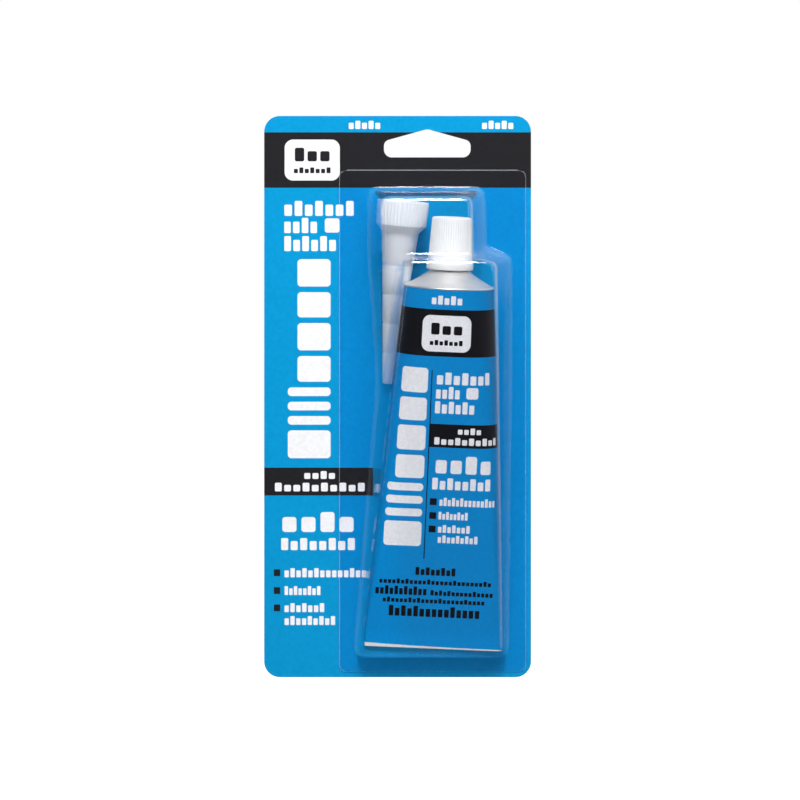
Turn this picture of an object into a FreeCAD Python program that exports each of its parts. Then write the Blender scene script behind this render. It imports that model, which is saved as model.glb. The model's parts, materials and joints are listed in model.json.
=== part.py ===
import FreeCAD, Part
import math
import os

from FreeCAD import Placement, Rotation, Vector

# A carded caulk tube, upright as it hangs. A clear formed blister is sealed on a printed card and
# holds a soft aluminium tube with a screw cap, and a loose nozzle beside the cap, tip down.
# +X is right, +Z is up and the pack's front looks along -Y. The origin is where the peg bears:
# the top of the hang slot, on the card's back face. All sizes are in millimetres.

# Card
CARD_THICKNESS = 0.5
CARD_CORNER = 6.0
HEADER = 20.3  # card above the blister's flange
PRINT_COLUMN = 28.2  # card to the left of the flange
CARD_RIGHT_MARGIN = 1.5
CARD_BOTTOM_MARGIN = 1.6

# Hang slot
SLOT_WIDTH = 33.0
SLOT_HEIGHT = 10.8
SLOT_ROOF_RISE = 4.6  # peg seat above the ends of the sloping roof
SLOT_CORNER = 3.0
SLOT_SHOULDER = 2.4  # radius where the sloping roof meets the sides
SLOT_PEG_SEAT = 3.2  # radius of the roof's top
SLOT_TO_CARD_TOP = 5.1
SLOT_TO_CARD_RIGHT = 39.5

# Tube
TUBE_RADIUS = 16.8
TUBE_LENGTH = 138.3  # folded tail to the lip of the shoulder
TUBE_LEAN = 2.4  # degrees to the right, in the card's plane
LIP_HEIGHT = 0.6  # straight rim under the shoulder
SHOULDER_HEIGHT = 5.8
SHOULDER_TOP_RADIUS = 7.4
NECK_RADIUS = 6.3
NECK_LENGTH = 12.6
NECK_CHAMFER = 0.5
TAIL_THICKNESS = 0.8
FOLD_HEIGHT = 5.2
FOLD_THICKNESS = 0.7
CARD_GAP = 0.1  # tube and nozzle off the card
ROUND_TO_FLAT_START = 0.3  # straight part of the section at the lip, where it is all but round

# Screw cap and its liner
CAP_HEIGHT = 19.5
CAP_TOP_RADIUS = 7.4
CAP_SKIRT_RADIUS = 8.2
CAP_COLLAR_RADIUS = 8.75
CAP_COLLAR_HEIGHT = 2.7
CAP_BAND_HEIGHT = 2.2
CAP_FLUTES = 52
CAP_FLUTE_DEPTH = 0.22
CAP_EDGE = 0.7
CAP_SEAT_GAP = 0.3  # above the shoulder
CAP_BORE_CLEARANCE = 0.3
CAP_CORE_RADIUS = 4.4
CAP_ROOF = 1.5
CAP_LIFT = 3.75  # how far the cap can rise on its thread inside the closed blister
LINER_THICKNESS = 0.8
LINER_CLEARANCE = 0.15

# Nozzle
NOZZLE_LENGTH = 69.5
NOZZLE_LEAN = 5.1  # degrees to the right, in the card's plane
NOZZLE_BASE_RADIUS = 9.8
NOZZLE_BASE_FOOT_RADIUS = 9.55
NOZZLE_BASE_HEIGHT = 9.1
NOZZLE_STEP_HEIGHT = 2.6
NOZZLE_BODY_RADIUS = 6.9
NOZZLE_TIP_RADIUS = 1.8
NOZZLE_FLUTES = 44
NOZZLE_FLUTE_DEPTH = 0.2
NOZZLE_SOCKET_DEPTH = 9.6
NOZZLE_WALL = 1.2
NOZZLE_TIP_WALL = 1.0
NOZZLE_MARKS = 4
NOZZLE_MARK_SPACING = 11.1
NOZZLE_FIRST_MARK = 12.0  # from the tip
NOZZLE_MARK_DEPTH = 0.15
NOZZLE_MARK_WIDTH = 0.5
NOZZLE_TO_TUBE = 0.6

# Blister
WALL = 0.45
FLANGE_TOP = 7.6
FLANGE_SIDE = 6.6
FLANGE_BOTTOM = 6.9
FLANGE_CORNER = 3.0
HEAD_ROOM = 8.25  # blister's top wall at the card to the top of the raised cap
NOZZLE_TOP_ROOM = 5.35
NOZZLE_SIDE_ROOM = 3.0
NOZZLE_TIP_ROOM = 1.6
LIP_SIDE_ROOM = 6.6
LIP_TOP_ROOM = 15.5  # lip to the tube bay's top wall, at the card
LIP_LEFT_ROOM = 5.4
STEP_DROP = 4.0  # the tube bay's outer top corner is lower by this
CAP_SIDE_ROOM = 4.6
HEAD_BAY_START = 3.0  # above the lip
TAIL_LEFT_ROOM = 3.4
TAIL_RIGHT_ROOM = 1.8
TAIL_BOTTOM_ROOM = 1.5
TUBE_FRONT_ROOM = 2.3
TAIL_FRONT_ROOM = 10.5
CAP_FRONT_ROOM = 1.8
NOZZLE_FRONT_ROOM = 2.4
WALL_SLOPE = 0.17  # inward run of the blister's walls for each millimetre of height
BAY_CORNER = 2.6
RIDGE_RADIUS = 2.4

STRAIGHT_UP = Vector(0, 0, 1)


def rounded_wire(corners):
    """A closed wire through corners, each given as a point and the radius that rounds it."""
    points = [Vector(*point) for point, radius in corners]
    edges, starts, ends, middles = [], [], [], []
    for i, (point, radius) in enumerate(corners):
        here = points[i]
        back = (points[i - 1] - here).normalize()
        ahead = (points[(i + 1) % len(points)] - here).normalize()
        half = back.getAngle(ahead) / 2
        run = radius / math.tan(half)
        bisector = (back + ahead).normalize()
        starts.append(here + back * run)
        ends.append(here + ahead * run)
        middles.append(here + bisector * (radius / math.sin(half) - radius))
    for i in range(len(points)):
        edges.append(Part.Arc(starts[i], middles[i], ends[i]).toShape())
        edges.append(Part.LineSegment(ends[i], starts[(i + 1) % len(points)]).toShape())
    return Part.Wire(edges)


def revolved(profile):
    """A solid turned about Z from a closed outline of (radius, height) points."""
    points = [Vector(radius, 0, height) for radius, height in profile]
    face = Part.Face(Part.makePolygon(points + points[:1]))
    return face.revolve(Vector(0, 0, 0), STRAIGHT_UP, 360)


def fluted(radius_low, radius_high, z_low, z_high, flutes, depth):
    """A tapered drum with straight flutes, as a ruled loft between two star outlines."""
    wires = []
    for radius, height in ((radius_low, z_low), (radius_high, z_high)):
        points = []
        for i in range(2 * flutes):
            angle = math.pi * i / flutes
            reach = radius - depth * (i % 2)
            points.append(Vector(reach * math.cos(angle), reach * math.sin(angle), height))
        wires.append(Part.makePolygon(points + points[:1]))
    return Part.makeLoft(wires, True, True)


def lying(lean, pitch, foot):
    """The placement of a piece built along Z: pitched off the card, leaned right, set on foot."""
    turn = Rotation(Vector(0, 1, 0), lean).multiply(Rotation(Vector(1, 0, 0), pitch))
    return Placement(foot, turn)


# Places down and across the card, worked out from the slot, the tube and the free room round them
card_top = SLOT_TO_CARD_TOP
card_right = SLOT_TO_CARD_RIGHT
card_front = -CARD_THICKNESS
flange_top = card_top - HEADER
flange_right = card_right - CARD_RIGHT_MARGIN
pocket_top = flange_top - FLANGE_TOP
pocket_right = flange_right - FLANGE_SIDE

cap_foot = SHOULDER_HEIGHT + CAP_SEAT_GAP
cap_top_height = TUBE_LENGTH + cap_foot + CAP_HEIGHT
tail_back = TAIL_THICKNESS / 2 + FOLD_THICKNESS
body_top = TUBE_LENGTH - LIP_HEIGHT
tube_pitch = math.degrees(math.atan((TUBE_RADIUS - tail_back) / body_top))
tube_lean_run = math.cos(math.radians(tube_pitch)) * math.sin(math.radians(TUBE_LEAN))
tube_rise = math.cos(math.radians(tube_pitch)) * math.cos(math.radians(TUBE_LEAN))
lip_x = pocket_right - LIP_SIDE_ROOM - TUBE_RADIUS
tail_x = lip_x - TUBE_LENGTH * tube_lean_run
tail_z = pocket_top - HEAD_ROOM - CAP_LIFT - cap_top_height * tube_rise
lip_z = tail_z + TUBE_LENGTH * tube_rise
tail_off_card = CARD_GAP + tail_back * math.cos(math.radians(tube_pitch))
tube_place = lying(TUBE_LEAN, tube_pitch, Vector(tail_x, card_front - tail_off_card, tail_z))

cap_top_x = tail_x + cap_top_height * tube_lean_run
nozzle_cone = NOZZLE_LENGTH - NOZZLE_BASE_HEIGHT - NOZZLE_STEP_HEIGHT
nozzle_slope = max(
    (NOZZLE_BASE_FOOT_RADIUS - NOZZLE_TIP_RADIUS) / (NOZZLE_LENGTH - NOZZLE_BASE_HEIGHT),
    (NOZZLE_BASE_RADIUS - NOZZLE_TIP_RADIUS) / NOZZLE_LENGTH,
)
nozzle_pitch = math.degrees(math.atan(nozzle_slope))
nozzle_lean_run = math.cos(math.radians(nozzle_pitch)) * math.sin(math.radians(NOZZLE_LEAN))
nozzle_rise = math.cos(math.radians(nozzle_pitch)) * math.cos(math.radians(NOZZLE_LEAN))
nozzle_off_card = CARD_GAP + NOZZLE_TIP_RADIUS / math.cos(math.radians(nozzle_pitch))
nozzle_tip_z = pocket_top - NOZZLE_TOP_ROOM - NOZZLE_LENGTH * nozzle_rise


def nozzle_radius(height):
    """Outer radius of the nozzle's long cone, at a height above its tip."""
    return NOZZLE_TIP_RADIUS + (NOZZLE_BODY_RADIUS - NOZZLE_TIP_RADIUS) * height / nozzle_cone


# The nozzle is tucked under the side of the tube and nearly touches it beside the lip
beside_lip = (lip_z - nozzle_tip_z) / nozzle_rise
tucked_below = TUBE_RADIUS + CARD_GAP - nozzle_off_card
tucked_below -= beside_lip * math.sin(math.radians(nozzle_pitch))
centre_distance = TUBE_RADIUS + nozzle_radius(beside_lip) + NOZZLE_TO_TUBE
beside_x = lip_x - math.sqrt(centre_distance**2 - tucked_below**2)
nozzle_tip_x = beside_x - beside_lip * nozzle_lean_run
nozzle_top_x = nozzle_tip_x + NOZZLE_LENGTH * nozzle_lean_run
nozzle_place = lying(
    NOZZLE_LEAN,
    nozzle_pitch,
    Vector(nozzle_tip_x, card_front - nozzle_off_card, nozzle_tip_z),
)

tail_half_width = math.pi * (TUBE_RADIUS - TAIL_THICKNESS / 2) / 2 + TAIL_THICKNESS / 2
tail_drop = tail_half_width * math.sin(math.radians(TUBE_LEAN))
tail_reach = tail_half_width * math.cos(math.radians(TUBE_LEAN))
pocket_bottom = tail_z - tail_drop - TAIL_BOTTOM_ROOM
pocket_tail_left = tail_x - tail_reach - TAIL_LEFT_ROOM
pocket_tail_right = tail_x + tail_reach + TAIL_RIGHT_ROOM
pocket_nozzle_left = nozzle_top_x - NOZZLE_BASE_RADIUS - NOZZLE_SIDE_ROOM
pocket_tip_left = nozzle_tip_x - NOZZLE_TIP_RADIUS - NOZZLE_TIP_ROOM
pocket_step = lip_z + LIP_TOP_ROOM
flange_left = min(pocket_tail_left, pocket_nozzle_left) - FLANGE_SIDE
flange_bottom = pocket_bottom - FLANGE_BOTTOM
card_left = flange_left - PRINT_COLUMN
card_bottom = flange_bottom - CARD_BOTTOM_MARGIN


def plate(left, right, low, high, corner, back, front):
    """A flat plate with round corners, from y = back to y = front."""
    outline = [
        ((left, back, low), corner),
        ((right, back, low), corner),
        ((right, back, high), corner),
        ((left, back, high), corner),
    ]
    return Part.Face(rounded_wire(outline)).extrude(Vector(0, front - back, 0))


def backing_card():
    """Printed board with the hang slot, whose roof slopes to a peg seat at the origin."""
    board = plate(card_left, card_right, card_bottom, card_top, CARD_CORNER, 0, card_front)
    half = SLOT_WIDTH / 2
    slot = [
        ((-half, 0, -SLOT_HEIGHT), SLOT_CORNER),
        ((half, 0, -SLOT_HEIGHT), SLOT_CORNER),
        ((half, 0, -SLOT_ROOF_RISE), SLOT_SHOULDER),
        ((0, 0, 0), SLOT_PEG_SEAT),
        ((-half, 0, -SLOT_ROOF_RISE), SLOT_SHOULDER),
    ]
    hole = Part.Face(rounded_wire(slot)).extrude(Vector(0, card_front, 0))
    hole.translate(Vector(0, 0, -hole.BoundBox.ZMax))
    return board.cut(hole)


def flat_section(half_thickness, height):
    """The tube's cross-section where it is pressed to a thickness: its girth never changes."""
    straight = math.pi * (TUBE_RADIUS - half_thickness) / 2
    right, left = Vector(straight, 0, height), Vector(-straight, 0, height)
    across, out = Vector(0, half_thickness, 0), Vector(half_thickness, 0, 0)
    return Part.Wire(
        [
            Part.LineSegment(left - across, right - across).toShape(),
            Part.Arc(right - across, right + out, right + across).toShape(),
            Part.LineSegment(right + across, left + across).toShape(),
            Part.Arc(left + across, left - out, left - across).toShape(),
        ]
    )


def tube():
    """Filled tube: body pressed from round at the lip to flat at the tail, shoulder and neck."""
    lip_half = TUBE_RADIUS - ROUND_TO_FLAT_START / math.pi
    tail_half = TAIL_THICKNESS / 2
    sections = [flat_section(tail_half, FOLD_HEIGHT), flat_section(lip_half, body_top)]
    body = Part.makeLoft(sections, True, True)
    tail = Part.Face(flat_section(tail_half, 0)).extrude(Vector(0, 0, FOLD_HEIGHT))
    flap = Part.makeBox(
        2 * tail_half_width - TAIL_THICKNESS,
        FOLD_THICKNESS,
        FOLD_HEIGHT,
        Vector(TAIL_THICKNESS / 2 - tail_half_width, tail_half, 0),
    )
    long_edges = [e for e in flap.Edges if e.Length > 2 * TUBE_RADIUS and e.CenterOfMass.y > tail_half]
    flap = flap.makeFillet(FOLD_THICKNESS / 2, long_edges)
    shoulder_top = TUBE_LENGTH + SHOULDER_HEIGHT
    neck_top = shoulder_top + NECK_LENGTH
    head = revolved(
        [
            (0, body_top),
            (TUBE_RADIUS, body_top),
            (TUBE_RADIUS, TUBE_LENGTH),
            (SHOULDER_TOP_RADIUS, shoulder_top),
            (NECK_RADIUS, shoulder_top),
            (NECK_RADIUS, neck_top - NECK_CHAMFER),
            (NECK_RADIUS - NECK_CHAMFER, neck_top),
            (0, neck_top),
        ]
    )
    whole = body.fuse([tail, flap, head]).removeSplitter()
    whole.Placement = tube_place
    return whole


def screw_cap():
    """Moulded cap: fluted drum over a plain band and a collar, bored for the neck and cored."""
    foot = TUBE_LENGTH + cap_foot
    band_low = foot + CAP_COLLAR_HEIGHT
    drum_low = band_low + CAP_BAND_HEIGHT
    top = foot + CAP_HEIGHT
    slope = (CAP_SKIRT_RADIUS - CAP_TOP_RADIUS) / (top - CAP_EDGE - drum_low)
    drum = fluted(
        CAP_SKIRT_RADIUS, CAP_TOP_RADIUS, drum_low, top - CAP_EDGE, CAP_FLUTES, CAP_FLUTE_DEPTH
    )
    lid = Part.makeCone(
        CAP_TOP_RADIUS - CAP_FLUTE_DEPTH,
        CAP_TOP_RADIUS - CAP_FLUTE_DEPTH - CAP_EDGE,
        CAP_EDGE,
        Vector(0, 0, top - CAP_EDGE),
    )
    foot_ring = revolved(
        [
            (0, foot),
            (CAP_COLLAR_RADIUS, foot),
            (CAP_COLLAR_RADIUS, band_low - CAP_EDGE / 2),
            (CAP_COLLAR_RADIUS - CAP_EDGE / 2, band_low),
            (CAP_SKIRT_RADIUS + slope * CAP_BAND_HEIGHT, band_low),
            (CAP_SKIRT_RADIUS, drum_low),
            (0, drum_low),
        ]
    )
    bore_radius = NECK_RADIUS + CAP_BORE_CLEARANCE
    ceiling = TUBE_LENGTH + SHOULDER_HEIGHT + NECK_LENGTH + LINER_THICKNESS
    bore = Part.makeCylinder(bore_radius, ceiling - foot, Vector(0, 0, foot))
    core = Part.makeCylinder(CAP_CORE_RADIUS, top - CAP_ROOF - ceiling, Vector(0, 0, ceiling))
    cap = drum.fuse([lid, foot_ring]).cut(bore.fuse(core))
    cap.Placement = tube_place
    return cap


def cap_liner():
    """Sealing disc in the cap, pressed on the mouth of the neck."""
    radius = NECK_RADIUS + CAP_BORE_CLEARANCE - LINER_CLEARANCE
    seat = Vector(0, 0, TUBE_LENGTH + SHOULDER_HEIGHT + NECK_LENGTH)
    liner = Part.makeCylinder(radius, LINER_THICKNESS, seat)
    liner.Placement = tube_place
    return liner


def nozzle():
    """Moulded nozzle, tip down: fluted socket, step, long cone with cutting marks, tapered bore."""
    base_low = NOZZLE_LENGTH - NOZZLE_BASE_HEIGHT
    socket_low = NOZZLE_LENGTH - NOZZLE_SOCKET_DEPTH
    profile = [(0, 0), (NOZZLE_TIP_RADIUS, 0)]
    for i in range(NOZZLE_MARKS):
        mark = NOZZLE_FIRST_MARK + i * NOZZLE_MARK_SPACING
        for height, sunk in (
            (mark - NOZZLE_MARK_WIDTH, 0),
            (mark, NOZZLE_MARK_DEPTH),
            (mark + NOZZLE_MARK_WIDTH, 0),
        ):
            profile.append((nozzle_radius(height) - sunk, height))
    profile += [
        (NOZZLE_BODY_RADIUS, nozzle_cone),
        (NOZZLE_BASE_FOOT_RADIUS - NOZZLE_FLUTE_DEPTH, base_low),
        (0, base_low),
    ]
    base = fluted(
        NOZZLE_BASE_FOOT_RADIUS,
        NOZZLE_BASE_RADIUS,
        base_low,
        NOZZLE_LENGTH,
        NOZZLE_FLUTES,
        NOZZLE_FLUTE_DEPTH,
    )
    socket_radius = NECK_RADIUS + CAP_BORE_CLEARANCE
    bore_top = nozzle_radius(socket_low) - NOZZLE_WALL
    bore = revolved(
        [
            (0, NOZZLE_TIP_WALL),
            (NOZZLE_TIP_RADIUS - NOZZLE_TIP_WALL, NOZZLE_TIP_WALL),
            (min(bore_top, socket_radius), socket_low),
            (socket_radius, socket_low),
            (socket_radius, NOZZLE_LENGTH),
            (0, NOZZLE_LENGTH),
        ]
    )
    shape = revolved(profile).fuse(base).cut(bore)
    shape.Placement = nozzle_place
    return shape


def inset(outline, distance):
    """An outline of (x, z) points, anticlockwise as seen from the front, moved inwards."""
    moved = []
    for i, (x, z) in enumerate(outline):
        before, after = outline[i - 1], outline[(i + 1) % len(outline)]
        normals = []
        for (x0, z0), (x1, z1) in ((before, (x, z)), ((x, z), after)):
            length = math.hypot(x1 - x0, z1 - z0)
            normals.append(((z0 - z1) / length, (x1 - x0) / length))
        (ax, az), (bx, bz) = normals
        share = distance / (1 + ax * bx + az * bz)
        moved.append((x + (ax + bx) * share, z + (az + bz) * share))
    return moved


def bay(outline, low, high, skin):
    """One raised bay of the blister as a drafted solid, skin thinner on every side.

    outline is the bay's foot on the card. low and high are two (z, height) points of its
    front, which is a plane between them.
    """
    rise = (high[1] - low[1]) / (high[0] - low[0])
    foot = inset(outline, skin)
    corner = BAY_CORNER - skin
    foot_wire = rounded_wire([((x, card_front, z), corner) for x, z in foot])
    front = []
    for i, (x, z) in enumerate(foot):
        run = (low[1] + rise * (z - low[0]) - skin) * WALL_SLOPE
        front_x, front_z = inset(foot, run)[i]
        height = low[1] + rise * (front_z - low[0]) - skin
        front.append(((front_x, card_front - height, front_z), corner))
    solid = Part.makeLoft([foot_wire, rounded_wire(front)], True, True)
    top_face = max(solid.Faces, key=lambda face: -face.CenterOfMass.y)
    return solid.makeFillet(RIDGE_RADIUS - skin, top_face.Edges)


def blister_bays(skin):
    """The three bays: over the cap and the nozzle's base, along the nozzle, and over the tube."""
    cap_axis = tail_off_card + cap_top_height * math.sin(math.radians(tube_pitch))
    cap_height = cap_axis + CAP_TOP_RADIUS + CAP_FRONT_ROOM
    cap_side = cap_top_x + CAP_TOP_RADIUS + CAP_SIDE_ROOM
    step_side = cap_side + CAP_SKIRT_RADIUS - CAP_TOP_RADIUS
    head_low = lip_z + HEAD_BAY_START
    head = bay(
        [
            (pocket_nozzle_left, head_low),
            (step_side, head_low),
            (cap_side, pocket_top),
            (pocket_nozzle_left, pocket_top),
        ],
        (head_low, cap_height),
        (pocket_top, cap_height),
        skin,
    )
    lip_height = CARD_GAP + 2 * TUBE_RADIUS + TUBE_FRONT_ROOM
    tail_height = CARD_GAP + TAIL_THICKNESS + FOLD_THICKNESS + TAIL_FRONT_ROOM
    body = bay(
        [
            (pocket_tail_left, pocket_bottom),
            (pocket_tail_right, pocket_bottom),
            (pocket_right, pocket_step - STEP_DROP),
            (step_side, pocket_step),
            (lip_x - TUBE_RADIUS - LIP_LEFT_ROOM, pocket_step),
        ],
        (tail_z, tail_height),
        (lip_z, lip_height),
        skin,
    )
    tip_height = CARD_GAP + 2 * NOZZLE_TIP_RADIUS + NOZZLE_FRONT_ROOM
    cone_z = nozzle_tip_z + nozzle_cone * nozzle_rise
    cone_height = (
        nozzle_off_card
        + nozzle_cone * math.sin(math.radians(nozzle_pitch))
        + NOZZLE_BODY_RADIUS
        + NOZZLE_FRONT_ROOM
    )
    side_right = nozzle_top_x + NOZZLE_BODY_RADIUS
    side = bay(
        [
            (pocket_tip_left, nozzle_tip_z - NOZZLE_TIP_ROOM),
            (side_right, nozzle_tip_z - NOZZLE_TIP_ROOM),
            (side_right, cone_z),
            (pocket_nozzle_left, cone_z),
        ],
        (nozzle_tip_z, tip_height),
        (cone_z, cone_height),
        skin,
    )
    return head.fuse([body, side])


def blister():
    """Clear sheet formed over three bays, with a flat flange sealed to the card all round."""
    flange = plate(
        flange_left,
        flange_right,
        flange_bottom,
        flange_top,
        FLANGE_CORNER,
        card_front,
        card_front - WALL,
    )
    return flange.fuse(blister_bays(0)).cut(blister_bays(WALL)).removeSplitter()


PIECES = {
    "backing_card": backing_card,
    "tube": tube,
    "screw_cap": screw_cap,
    "cap_liner": cap_liner,
    "nozzle": nozzle,
    "blister": blister,
}

os.makedirs("parts", exist_ok=True)
for name, make in PIECES.items():
    make().exportStep("parts/" + name + ".step")
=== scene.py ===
import json
import math

import bpy
from mathutils import Euler, Matrix, Vector, noise

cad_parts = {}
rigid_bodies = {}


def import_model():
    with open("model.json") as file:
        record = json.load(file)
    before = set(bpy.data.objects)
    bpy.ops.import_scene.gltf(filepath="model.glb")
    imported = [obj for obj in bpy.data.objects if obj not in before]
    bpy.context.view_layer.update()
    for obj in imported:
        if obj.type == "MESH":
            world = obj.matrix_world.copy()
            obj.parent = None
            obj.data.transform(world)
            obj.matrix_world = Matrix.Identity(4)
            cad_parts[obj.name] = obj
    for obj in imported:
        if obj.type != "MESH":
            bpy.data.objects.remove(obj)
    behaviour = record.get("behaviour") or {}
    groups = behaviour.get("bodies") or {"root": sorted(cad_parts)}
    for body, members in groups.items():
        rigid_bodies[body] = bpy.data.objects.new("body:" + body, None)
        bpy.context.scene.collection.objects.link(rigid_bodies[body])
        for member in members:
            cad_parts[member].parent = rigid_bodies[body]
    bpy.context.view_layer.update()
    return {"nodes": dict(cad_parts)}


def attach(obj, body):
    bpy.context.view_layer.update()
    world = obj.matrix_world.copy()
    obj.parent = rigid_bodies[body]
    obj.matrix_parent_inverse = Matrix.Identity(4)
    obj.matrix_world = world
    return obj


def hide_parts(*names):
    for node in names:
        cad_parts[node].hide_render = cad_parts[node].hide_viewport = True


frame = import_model()
nodes = frame["nodes"]
bpy.ops.object.select_all(action="DESELECT")


# Backing card: half a millimetre of coated board, printed in blue, black and white on the front
# and bare on the back, die cut with rounded corners and a hang slot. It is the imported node, so
# this section only prints it. The print is plain fields, blocks and bars, placed in millimetres.

MM = 0.001
WHITE_INK = (0.89, 0.89, 0.91, 1)
BLACK_INK = (0.017, 0.017, 0.02, 1)
CARD_BLUE = (0.001, 0.3, 0.625, 1)
# The sealed flange's blue: the board's deeper colour under the seal, darkened further as painted
# shade
SEALED_AND_SHADED_BLUE = (0.0, 0.25, 0.61, 1)
BOARD_WHITE = (0.78, 0.77, 0.74, 1)
BOARD_EDGE = (0.62, 0.59, 0.54, 1)
SEAL_MIDDLE = (2.05, 0, -111.1)
SEAL_HALF_SIZE = (35.95, 0, 95.9)
SEAL_CORNER = 3.0


def add(tree, kind, inputs=None, **settings):
    """Adds a node. An input is a socket to link, or a value to set."""
    made = tree.nodes.new(kind)
    for name, value in settings.items():
        setattr(made, name, value)
    for name, value in (inputs or {}).items():
        if isinstance(value, bpy.types.NodeSocket):
            tree.links.new(value, made.inputs[name])
        else:
            made.inputs[name].default_value = value
    return made


def maths(tree, operation, *values):
    return add(tree, "ShaderNodeMath", dict(enumerate(values)), operation=operation).outputs[0]


def vectors(tree, operation, *values):
    made = add(tree, "ShaderNodeVectorMath", dict(enumerate(values)), operation=operation)
    return made.outputs["Value" if operation in ("LENGTH", "DOT_PRODUCT") else "Vector"]


def scaled(tree, vector, factor):
    """A place or a colour times one factor."""
    inputs = {0: vector, "Scale": factor}
    return add(tree, "ShaderNodeVectorMath", inputs, operation="SCALE").outputs["Vector"]


def blend_colour(tree, factor, first, second):
    made = add(tree, "ShaderNodeMix", data_type="RGBA")
    for socket, value in ((0, factor), (6, first), (7, second)):
        if isinstance(value, bpy.types.NodeSocket):
            tree.links.new(value, made.inputs[socket])
        else:
            made.inputs[socket].default_value = value
    return made.outputs[2]


def ramp(tree, value, low, high, to_low=0.0, to_high=1.0):
    """The value's place from low to high, as a number from to_low to to_high, held at both."""
    inputs = {"Value": value, "From Min": low, "From Max": high}
    inputs.update({"To Min": to_low, "To Max": to_high})
    return add(tree, "ShaderNodeMapRange", inputs).outputs["Result"]


def new_group(name, inputs, outputs):
    """An empty node group. A socket is its name, its kind and, for an input, its value."""
    tree = bpy.data.node_groups.new(name, "ShaderNodeTree")
    for socket, kind, value in inputs:
        made = tree.interface.new_socket(socket, in_out="INPUT", socket_type="NodeSocket" + kind)
        if value is not None:
            made.default_value = value
    for socket, kind in outputs:
        tree.interface.new_socket(socket, in_out="OUTPUT", socket_type="NodeSocket" + kind)
    return tree, tree.nodes.new("NodeGroupInput").outputs, tree.nodes.new("NodeGroupOutput").inputs


def use_group(tree, group, inputs):
    """Places a node group with its own values, and gives its outputs."""
    return add(tree, "ShaderNodeGroup", inputs, node_tree=group).outputs


def new_material(name):
    """A material, with its tree and its shader to add to."""
    material = bpy.data.materials.new(name)
    material.use_nodes = True
    tree = material.node_tree
    shader = tree.nodes["Principled BSDF"]
    return material, tree, shader


def dress(piece, *materials):
    """Gives a piece these materials and no others."""
    piece.data.materials.clear()
    for material in materials:
        piece.data.materials.append(material)


# One printed block: a rounded rectangle across X and Z of the place, soft over the ink's edge
block_group, given, result = new_group(
    "printed block",
    [("Place", "Vector", None), ("Centre", "Vector", None), ("Half size", "Vector", None)]
    + [("Corner", "Float", 0.4), ("Ink edge", "Float", 0.12)],
    [("Mask", "Float")],
)
offset = vectors(block_group, "SUBTRACT", given["Place"], given["Centre"])
offset = vectors(block_group, "ABSOLUTE", offset)
offset = vectors(block_group, "SUBTRACT", offset, given["Half size"])
round_part = add(
    block_group, "ShaderNodeCombineXYZ", {"X": given["Corner"], "Y": -1000, "Z": given["Corner"]}
).outputs[0]
offset = vectors(block_group, "ADD", offset, round_part)
offset = vectors(block_group, "MAXIMUM", offset, (0, 0, 0))
distance = maths(block_group, "SUBTRACT", vectors(block_group, "LENGTH", offset), given["Corner"])
distance = maths(block_group, "DIVIDE", distance, given["Ink edge"])
inside = maths(block_group, "SUBTRACT", 0.5, distance)
inside = add(block_group, "ShaderNodeClamp", {"Value": inside}).outputs[0]
block_group.links.new(inside, result["Mask"])

# A row of blocks in place of a line of type: cells of one pitch, some of them taller
row_group, given, result = new_group(
    "printed row",
    [("Place", "Vector", None), ("Centre", "Vector", None), ("Half size", "Vector", None)]
    + [("Cells", "Float", 5.0)],
    [("Mask", "Float")],
)
offset = vectors(row_group, "SUBTRACT", given["Place"], given["Centre"])
across = add(row_group, "ShaderNodeSeparateXYZ", {0: offset}).outputs
half = add(row_group, "ShaderNodeSeparateXYZ", {0: given["Half size"]}).outputs
pitch = maths(row_group, "DIVIDE", maths(row_group, "MULTIPLY", half["X"], 2), given["Cells"])
along = maths(row_group, "DIVIDE", maths(row_group, "ADD", across["X"], half["X"]), pitch)
cell = maths(row_group, "FLOOR", along)
seed = maths(row_group, "ADD", cell, given["Cells"])
dice = add(row_group, "ShaderNodeTexWhiteNoise", {"W": seed}, noise_dimensions="1D")
tall = maths(row_group, "GREATER_THAN", dice.outputs["Value"], 0.62)
height = maths(row_group, "MULTIPLY", half["Z"], maths(row_group, "MULTIPLY_ADD", tall, 0.25, 0.75))
centred = maths(row_group, "SUBTRACT", maths(row_group, "FRACT", along), 0.5)
local_x = maths(row_group, "MULTIPLY", centred, pitch)
local_z = maths(row_group, "ADD", across["Z"], maths(row_group, "SUBTRACT", half["Z"], height))
local = add(row_group, "ShaderNodeCombineXYZ", {"X": local_x, "Z": local_z}).outputs[0]
cell_half = add(
    row_group, "ShaderNodeCombineXYZ", {"X": maths(row_group, "MULTIPLY", pitch, 0.37), "Z": height}
).outputs[0]
corner = maths(row_group, "MULTIPLY", pitch, 0.15)
mask = use_group(
    row_group, block_group, {"Place": local, "Half size": cell_half, "Corner": corner}
)["Mask"]
within = maths(row_group, "LESS_THAN", maths(row_group, "ABSOLUTE", across["X"]), half["X"])
row_group.links.new(maths(row_group, "MULTIPLY", mask, within), result["Mask"])

# How print lies on its ground: slow changes of tone, a finer mottle, specks, and a low grain
ink_group, given, result = new_group(
    "ink on its ground",
    [("Place", "Vector", None), ("Colour", "Color", None), ("Tone", "Float", 0.06)]
    + [("Grain", "Float", 5.0)],
    [("Colour", "Color"), ("Height", "Float"), ("Roughness", "Float")],
)
slow = add(ink_group, "ShaderNodeTexNoise", {"Vector": given["Place"], "Scale": 0.035, "Detail": 3})
fine = add(ink_group, "ShaderNodeTexNoise", {"Vector": given["Place"], "Detail": 2})
ink_group.links.new(given["Grain"], fine.inputs["Scale"])
tone = maths(ink_group, "SUBTRACT", slow.outputs["Fac"], 0.5)
tone = maths(ink_group, "MULTIPLY_ADD", tone, given["Tone"], 1.0)
mottle = add(ink_group, "ShaderNodeTexNoise", {"Vector": given["Place"], "Scale": 0.7, "Detail": 3})
mottle = ramp(ink_group, mottle.outputs["Fac"], 0.3, 0.7, 0.95, 1.05)
tone = maths(ink_group, "MULTIPLY", tone, mottle)
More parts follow.
